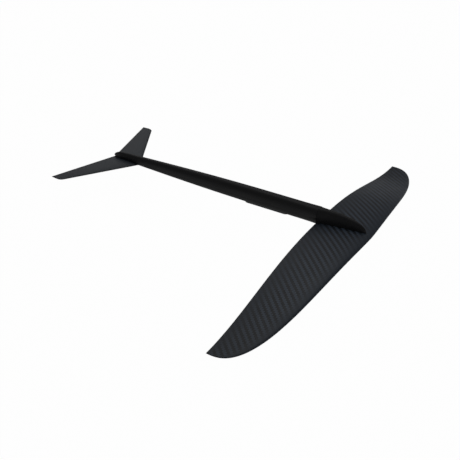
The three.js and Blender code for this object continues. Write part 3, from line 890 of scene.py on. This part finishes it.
# Painted shade: the colour darkens towards the trailing edge and towards the wing tips.
rear_painted_shade = node(tree, "MapRange", {"Value": from_nose, "From Min": 0.55, "From Max": 1.0, "To Min": 1.0,
                                    "To Max": 0.72}).outputs[0]
tip_painted_shade = node(tree, "MapRange", {"Value": reach, "From Min": 0.6, "From Max": 1.0, "To Min": 1.0,
                                   "To Max": 0.7}, interpolation_type="SMOOTHSTEP").outputs[0]
# The dark seams between the tows are the cloth's own; the rear and tip factors are painted shade.
seam_and_painted_shade = maths(tree, "MULTIPLY", seam, maths(tree, "MULTIPLY", rear_painted_shade, tip_painted_shade))
toned = node(tree, "VectorMath", {0: cloth}, operation="SCALE")
tree.links.new(seam_and_painted_shade, toned.inputs["Scale"])
tree.links.new(toned.outputs["Vector"], surface.inputs["Base Color"])
gloss = node(tree, "MapRange", {"Value": grain(tree, place, (35, 35, 35)), "To Min": 0.36,
                                "To Max": 0.5}).outputs[0]
tree.links.new(gloss, surface.inputs["Roughness"])
relief(tree, surface, crown, 0.03)
print("rib pitch:", round(4 / math.hypot(1 / TOW_ALONG_CHORD, 1 / TOW_ALONG_SPAN), 1), "mm")

# %% [markdown]
# ## Matte black paint over carbon
#
# The fuselage is primed, sanded and sprayed matte black. Spray leaves a very fine orange peel, a few
# tenths of a millimetre across, drawn here at about 2 mm because a finer one would not show. Handling
# polishes it a little in patches, which only its roughness gives away.

# %% Paint material
paint, tree, surface, place = finish_named("matte_black_paint", Roughness=0.5, IOR=1.38)
patches = grain(tree, place, (18, 30, 30), detail=4)
black = blend_colours(tree, patches, linear("#121214"), linear("#1c1c1f"))
dust = grain(tree, place, (900, 900, 900), detail=2)
dust = node(tree, "MapRange", {"Value": dust, "From Min": 0.62, "From Max": 0.8}).outputs[0]
black = blend_colours(tree, maths(tree, "MULTIPLY", dust, 0.25), black, linear("#34363a"))
tree.links.new(black, surface.inputs["Base Color"])
rub = node(tree, "MapRange", {"Value": patches, "From Min": 0.3, "From Max": 0.7, "To Min": 0.42,
                              "To Max": 0.56}).outputs[0]
tree.links.new(rub, surface.inputs["Roughness"])
relief(tree, surface, grain(tree, place, (450, 450, 450), detail=2), 0.02)
print("paint:", paint.name)

# %% [markdown]
# ## Slate coat on the stabiliser
#
# The stabiliser has the same carbon, but a pigmented matte coat hides the tows: only a faint print of the
# fine cloth comes through it, and the colour is darker within a few millimetres of the edges.

# %% Slate material
slate, tree, surface, place = finish_named("slate_coat", Roughness=0.5, IOR=1.5)
parts = node(tree, "SeparateXYZ", {"Vector": place}).outputs
SLATE_TOW = 2.0
u = maths(tree, "FLOOR", maths(tree, "DIVIDE", parts["X"], SLATE_TOW * MM))
v = maths(tree, "FLOOR", maths(tree, "DIVIDE", parts["Y"], SLATE_TOW * MM))
turn = maths(tree, "FLOORED_MODULO", maths(tree, "ADD", u, v), 4.0)
print_through = maths(tree, "LESS_THAN", turn, 1.5)
reach = maths(tree, "DIVIDE", maths(tree, "ABSOLUTE", parts["Y"]), STAB_HALF_SPAN * MM)
edge_x = maths(tree, "SUBTRACT", STAB_TRAILING.x * MM, maths(tree, "MULTIPLY", reach, STAB_SWEEP * MM))
chord = maths(tree, "SUBTRACT", STAB_CHORD * MM,
              maths(tree, "MULTIPLY", reach, (STAB_CHORD - STAB_TIP_CHORD) * MM))
aft = maths(tree, "SUBTRACT", parts["X"], edge_x)
# The colour is darker within a few millimetres of the leading and trailing edges.
rim = maths(tree, "MINIMUM", aft, maths(tree, "SUBTRACT", chord, aft))
rim = node(tree, "MapRange", {"Value": rim, "From Min": 1.5 * MM, "From Max": 5 * MM, "To Min": 0.62,
                              "To Max": 1.0}, interpolation_type="SMOOTHSTEP").outputs[0]
clouds = grain(tree, place, (30, 30, 30), detail=4)
faint = maths(tree, "MULTIPLY", print_through, 0.16)
cover = maths(tree, "ADD", faint, maths(tree, "MULTIPLY", clouds, 0.6))
coat = blend_colours(tree, cover, linear("#1f252e"), linear("#2d3540"))
toned = node(tree, "VectorMath", {0: coat}, operation="SCALE")
tree.links.new(rim, toned.inputs["Scale"])
tree.links.new(toned.outputs["Vector"], surface.inputs["Base Color"])
relief(tree, surface, grain(tree, place, (700, 700, 700), detail=2), 0.015)
print("slate:", slate.name)

# %% [markdown]
# ## Metals
#
# The socket is milled aluminium with a dark hard anodised layer: the tool's fine marks still show under
# it. The screws and bushes are turned stainless steel, so their marks run round the axis. The inserts
# inside are brass.

# %% Metal materials
anodised, tree, surface, place = finish_named("dark_anodised_aluminium", Metallic=0.85, Roughness=0.42)
tool_marks = grain(tree, place, (120, 2400, 120), detail=2)
clouds = grain(tree, place, (60, 60, 60), detail=3)
colour = blend_colours(tree, clouds, linear("#232427"), linear("#303236"))
tree.links.new(blend_colours(tree, maths(tree, "MULTIPLY", tool_marks, 0.3), colour, linear("#484b50")),
               surface.inputs["Base Color"])
rough = node(tree, "MapRange", {"Value": tool_marks, "To Min": 0.34, "To Max": 0.52}).outputs[0]
tree.links.new(rough, surface.inputs["Roughness"])
relief(tree, surface, tool_marks, 0.01)


def turned_metal(name, light, dark, mark_mm, **shader):
    """Turned metal: fine rings along the axis, and cloudy reflections."""
    material, tree, surface, place = finish_named(name, Metallic=1.0, **shader)
    rings = grain(tree, place, (200, 200, 1 / (mark_mm * MM)), detail=2)
    clouds = grain(tree, place, (250, 250, 250), detail=3)
    colour = blend_colours(tree, maths(tree, "ADD", maths(tree, "MULTIPLY", rings, 0.5),
                                       maths(tree, "MULTIPLY", clouds, 0.5)), linear(dark), linear(light))
    tree.links.new(colour, surface.inputs["Base Color"])
    rough = node(tree, "MapRange", {"Value": clouds, "To Min": 0.22, "To Max": 0.42}).outputs[0]
    tree.links.new(rough, surface.inputs["Roughness"])
    relief(tree, surface, rings, 0.008)
    return material


stainless = turned_metal("turned_stainless_steel", "#c3c7cb", "#979ca1", 0.3, Roughness=0.3)
brass = turned_metal("turned_brass", "#c8a463", "#a07f42", 0.4, Roughness=0.35)
print("metals:", anodised.name, stainless.name, brass.name)

# %% [markdown]
# ## What is inside
#
# The cores are closed cell foam, the blocks that take the inserts are solid laminate with chopped
# fibres, and the spars are unidirectional carbon, whose fibres all run along the span. The saddle under
# the tail is moulded nylon. They are hidden in the finished set, but a cut shows them.

# %% Inner materials
foam, tree, surface, place = finish_named("closed_cell_foam", Roughness=0.95)
cells = node(tree, "TexVoronoi", {"Vector": scaled(tree, place, (1400, 1400, 1400)), "Scale": 1.0})
walls = node(tree, "MapRange", {"Value": cells.outputs["Distance"], "From Max": 0.6}).outputs[0]
colour = blend_colours(tree, walls, linear("#b9a67c"), linear("#dccda9"))
tree.links.new(colour, surface.inputs["Base Color"])
relief(tree, surface, walls, 0.15)

laminate, tree, surface, place = finish_named("chopped_fibre_laminate", Roughness=0.6)
chips = node(tree, "TexVoronoi", {"Vector": scaled(tree, place, (180, 700, 400)), "Scale": 1.0})
flakes = node(tree, "SeparateXYZ", {"Vector": chips.outputs["Color"]}).outputs["X"]
colour = blend_colours(tree, flakes, linear("#191b1d"), linear("#34383c"))
tree.links.new(colour, surface.inputs["Base Color"])
relief(tree, surface, flakes, 0.03)

unidirectional, tree, surface, place = finish_named("unidirectional_carbon", Roughness=0.4)
strands = grain(tree, place, (2800, 25, 2800), detail=3)
colour = blend_colours(tree, strands, linear("#0f1012"), linear("#2c2f33"))
tree.links.new(colour, surface.inputs["Base Color"])
relief(tree, surface, strands, 0.02)

nylon, tree, surface, place = finish_named("moulded_nylon", Roughness=0.55)
skin_grain = grain(tree, place, (1100, 1100, 1100), detail=3)
tree.links.new(blend_colours(tree, skin_grain, linear("#17181a"), linear("#232528")),
               surface.inputs["Base Color"])
relief(tree, surface, skin_grain, 0.03)
print("inner materials:", foam.name, laminate.name, unidirectional.name, nylon.name)

# %% [markdown]
# ## Dressing the pieces
#
# Every new piece gets its material, rides on the set's one body, and hides the CAD node that it covers.
# The CAD nodes that stay get a material in their slot.

# %% Pieces and CAD nodes
def dress(piece, material, slot, *nodes):
    only(piece)
    piece.data.materials.clear()
    piece.data.materials.append(material)
    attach(piece, "root")
    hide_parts(*nodes)


dress(wing_skins["smooth"], twill, "twill", "wing_smooth_skin")
dress(wing_skins["mast"], twill, "twill", "wing_mast_skin")
dress(stab_skins["smooth"], slate, "slate_carbon", "stab_smooth_skin")
dress(stab_skins["mast"], slate, "slate_carbon", "stab_mast_skin")
dress(upper_shell, paint, "painted_carbon", "fuselage_smooth_shell")
dress(lower_shell, paint, "painted_carbon", "fuselage_mast_shell")
dress(socket, anodised, "socket_metal", "mast_socket_block")
for number, piece in enumerate(mast_bushes, 1):
    dress(piece, stainless, "stainless", f"mast_insert_{number}")
for piece, name in zip(wing_screws + stab_screws, wing_screw_nodes + stab_screw_nodes):
    dress(piece, stainless, "stainless", name)

kept = {
    foam: ["wing_front_core_left", "wing_front_core_right", "wing_rear_core_left",
           "wing_rear_core_right", "fuselage_front_core", "fuselage_rear_core", "stab_core_left",
           "stab_core_right"],
    unidirectional: ["wing_spar_left", "wing_spar_right"],
    laminate: ["wing_root_block", "wing_mount_block", "tail_block", "stab_root_block"],
    brass: ["wing_insert_1", "wing_insert_2", "wing_insert_3", "tail_insert_1", "tail_insert_2"],
    nylon: ["stab_saddle"],
}
for material, names in kept.items():
    for name in names:
        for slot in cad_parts[name].material_slots:
            slot.material = material
print("kept CAD nodes:", sum(len(names) for names in kept.values()))

# %% [markdown]
# ## The studio
#
# The set lies on a plain white floor. The floor shows itself to the camera mostly as white, and keeps a
# faint shadow. A wide lamp hangs over the set and a weaker one stands behind it. The lamps and the grey
# room are kept low, because a brighter room washes the black surfaces out. For the same reason the
# floor is dimmer in reflections than the camera sees it.

# %% Floor, room and lamps
FLOOR_WHITE = 0.985
FLOOR_MIRRORED = 0.3
ROOM_LEVEL = 0.16
floor_z = cad_box[0][2]
leave()
bpy.ops.mesh.primitive_plane_add(size=16, location=(0, 0, floor_z))
floor = settle(bpy.context.object, "studio_floor")
ground, tree, surface, place = finish_named("studio_paper", Roughness=0.9)
fleck = grain(tree, place, (40, 40, 40))
tree.links.new(blend_colours(tree, fleck, linear("#f4f4f4"), linear("#fafafa")), surface.inputs["Base Color"])
rays = node(tree, "LightPath").outputs
seen = maths(tree, "MULTIPLY", rays["Is Camera Ray"], FLOOR_WHITE)
mirrored = maths(tree, "MULTIPLY", rays["Is Glossy Ray"], FLOOR_MIRRORED)
white = node(tree, "Emission", {"Color": (1, 1, 1, 1), "Strength": 1.0}).outputs[0]
veil = node(tree, "MixShader", {0: maths(tree, "MAXIMUM", seen, mirrored), 1: surface.outputs[0], 2: white})
output = next(item for item in tree.nodes if item.type == "OUTPUT_MATERIAL")
tree.links.new(veil.outputs[0], output.inputs["Surface"])
floor.data.materials.append(ground)

world = bpy.data.worlds.new("studio_room")
bpy.context.scene.world = world
world.use_nodes = True
tree = world.node_tree
room = tree.nodes["Background"]
rays = node(tree, "LightPath").outputs
seen = maths(tree, "MAXIMUM", rays["Is Camera Ray"], rays["Is Transmission Ray"])
room.inputs["Color"].default_value = (1, 1, 1, 1)
level = node(tree, "MapRange", {"Value": seen, "To Min": ROOM_LEVEL, "To Max": 1.0}).outputs[0]
tree.links.new(level, room.inputs["Strength"])


def lamp(name, place, aim, size, watts):
    bpy.ops.object.light_add(type="AREA", location=place)
    light = bpy.context.object
    light.name = name
    light.data.shape = "DISK"
    light.data.size = size
    light.data.energy = watts
    light.rotation_mode = "QUATERNION"
    light.rotation_quaternion = (Vector(aim) - Vector(place)).to_track_quat("-Z", "Y")


lamp("overhead", (-0.3, 0.6, 2.2), (0, 0, 0), 2.0, 7)
lamp("behind", (-1.8, 1.6, 1.2), (0, 0, 0), 1.4, 2.5)
bpy.context.scene.view_settings.view_transform = "Standard"
print("floor at", round(floor_z / MM, 1), "mm")

# %% [markdown]
# ## Closing the lesson
#
# The CAD model's box is printed. The visual model has to stay inside the CAD model's box.

# %% Sizes and finish
leave()
print("CAD box:", [[round(v, 4) for v in corner] for corner in cad_box])
